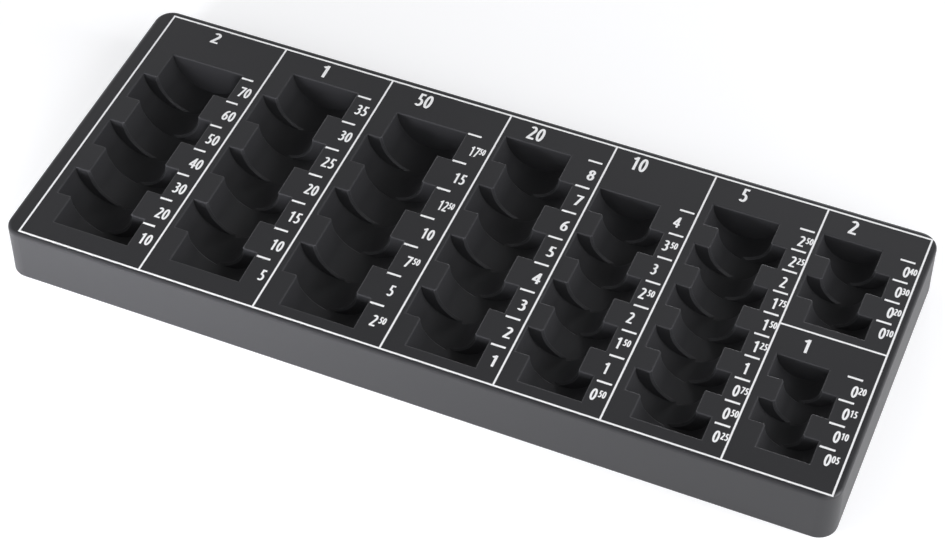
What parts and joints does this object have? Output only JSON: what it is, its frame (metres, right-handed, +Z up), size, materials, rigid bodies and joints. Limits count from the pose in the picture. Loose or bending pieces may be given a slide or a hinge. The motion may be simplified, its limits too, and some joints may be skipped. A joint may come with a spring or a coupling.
{
  "type": "coin counting tray",
  "caption": "Shallow black plastic tray with staggered half-round rows that hold coins on edge, and a white printed scale beside each row for reading off the sum.",
  "frame": {"origin": "under the middle of the tray, on the surface it stands on", "axes": "+X along the long front wall to the right, +Y from the front wall to the back wall, +Z up out of the deck"},
  "size_m": [0.274, 0.1116, 0.0194],
  "materials": {
    "plastic": "black, fine matt texture",
    "ink": "white screen print"
  },
  "bodies": {
    "root": {"tray_body": "plastic", "printed_grid": "ink", "scale_marks_200": "ink", "scale_marks_100": "ink", "scale_marks_50": "ink", "scale_marks_20": "ink", "scale_marks_10": "ink", "scale_marks_5": "ink", "scale_marks_2": "ink", "scale_marks_1": "ink"}
  },
  "joints": []
}
